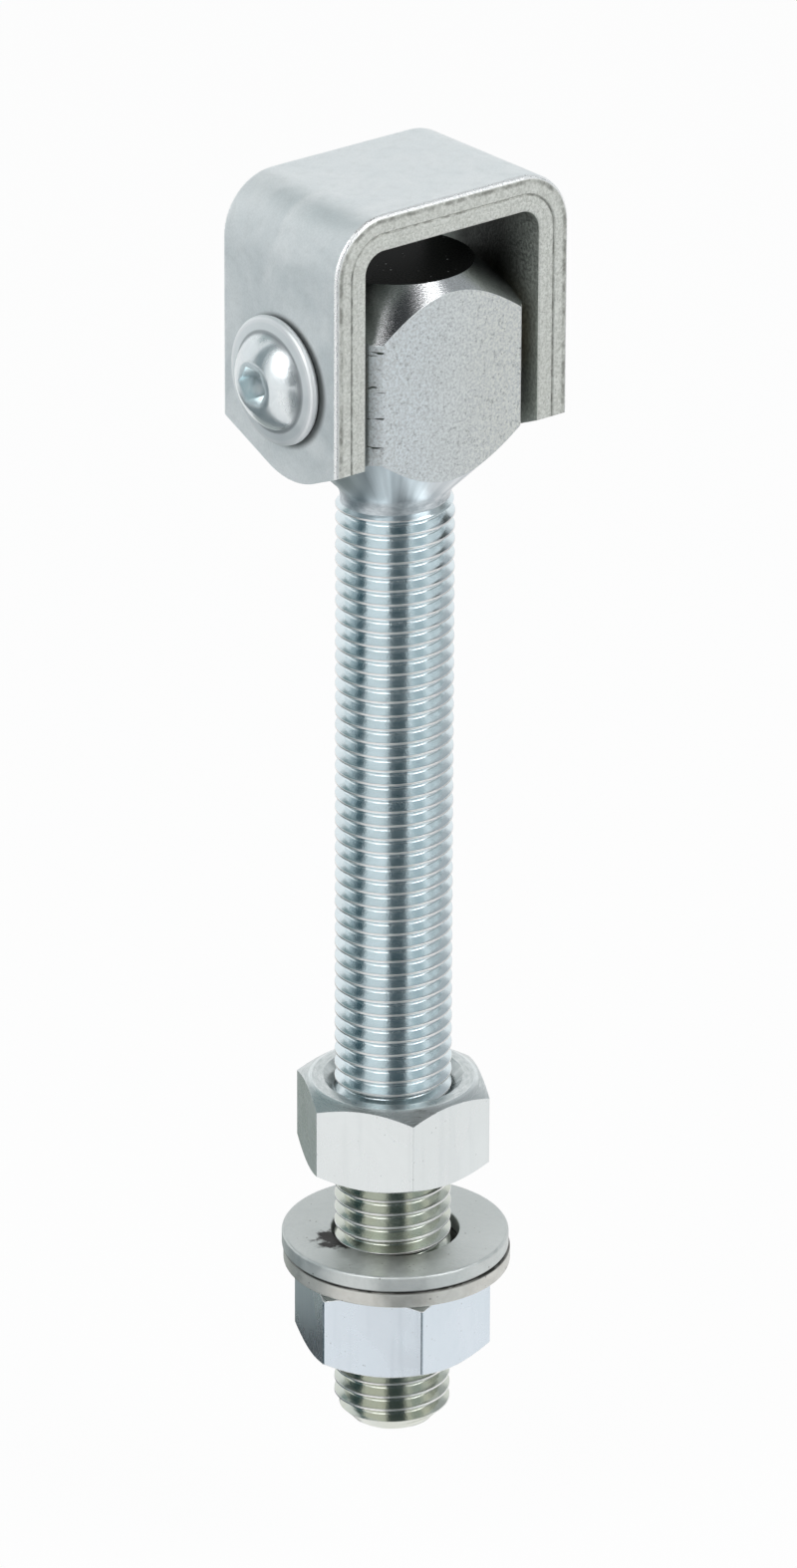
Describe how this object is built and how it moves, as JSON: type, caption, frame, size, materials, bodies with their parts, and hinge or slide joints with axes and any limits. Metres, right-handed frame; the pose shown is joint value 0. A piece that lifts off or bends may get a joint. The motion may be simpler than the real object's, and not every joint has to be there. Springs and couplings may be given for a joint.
{
  "type": "adjustable gate hinge",
  "caption": "Weld-on gate hinge: a folded U bracket holds a block-headed bolt that swings on a cross pin, and nuts and washers on its long thread grip the gate and set its gap.",
  "frame": {"origin": "middle of the weld face, the flat outside of the bracket's bridge", "axes": "+Z out of the weld face and up, with the bolt hanging down; X along the pivot; -Y the pictured front"},
  "size_m": [0.06, 0.039, 0.2279],
  "materials": {
    "zinc_plate": "satin zinc plating",
    "zinc_bolt": "bright zinc plating",
    "pin_steel": "ground",
    "bush_bronze": "sintered",
    "zinc_screw": "bright zinc plating",
    "zinc_nut": "satin zinc plating",
    "zinc_washer": "satin zinc plating"
  },
  "bodies": {
    "bracket": {"u_bracket": "zinc_plate", "pivot_pin": "pin_steel", "pivot_screw_left": "zinc_screw", "pivot_screw_right": "zinc_screw"},
    "bolt": {"hinge_bolt": "zinc_bolt", "bush_left": "bush_bronze", "bush_right": "bush_bronze"},
    "upper_nut": {"upper_nut": "zinc_nut"},
    "washers": {"upper_washer": "zinc_washer", "lower_washer": "zinc_washer"},
    "lower_nut": {"lower_nut": "zinc_nut"}
  },
  "joints": [
    {"name": "pivot", "type": "hinge", "parent": "bracket", "child": "bolt", "pos_m": [0, 0, -0.03055], "axis": [1, 0, 0], "range_deg": [-90, 90]},
    {"name": "upper_nut_travel", "type": "slide", "parent": "bolt", "child": "upper_nut", "axis": [0, 0, 1], "range_m": [-0.0065, 0.104]},
    {"name": "washer_travel", "type": "slide", "parent": "bolt", "child": "washers", "axis": [0, 0, 1], "range_m": [-0.01, 0.0065]},
    {"name": "lower_nut_turn", "type": "hinge", "parent": "washers", "child": "lower_nut", "pos_m": [0, 0, -0.20655], "axis": [0, 0, 1], "range_deg": [-1450, 945]}
  ],
  "couplings": [
    {"joint": "lower_nut_turn", "follows": "washer_travel", "rad_per_m": 2513.3}
  ]
}
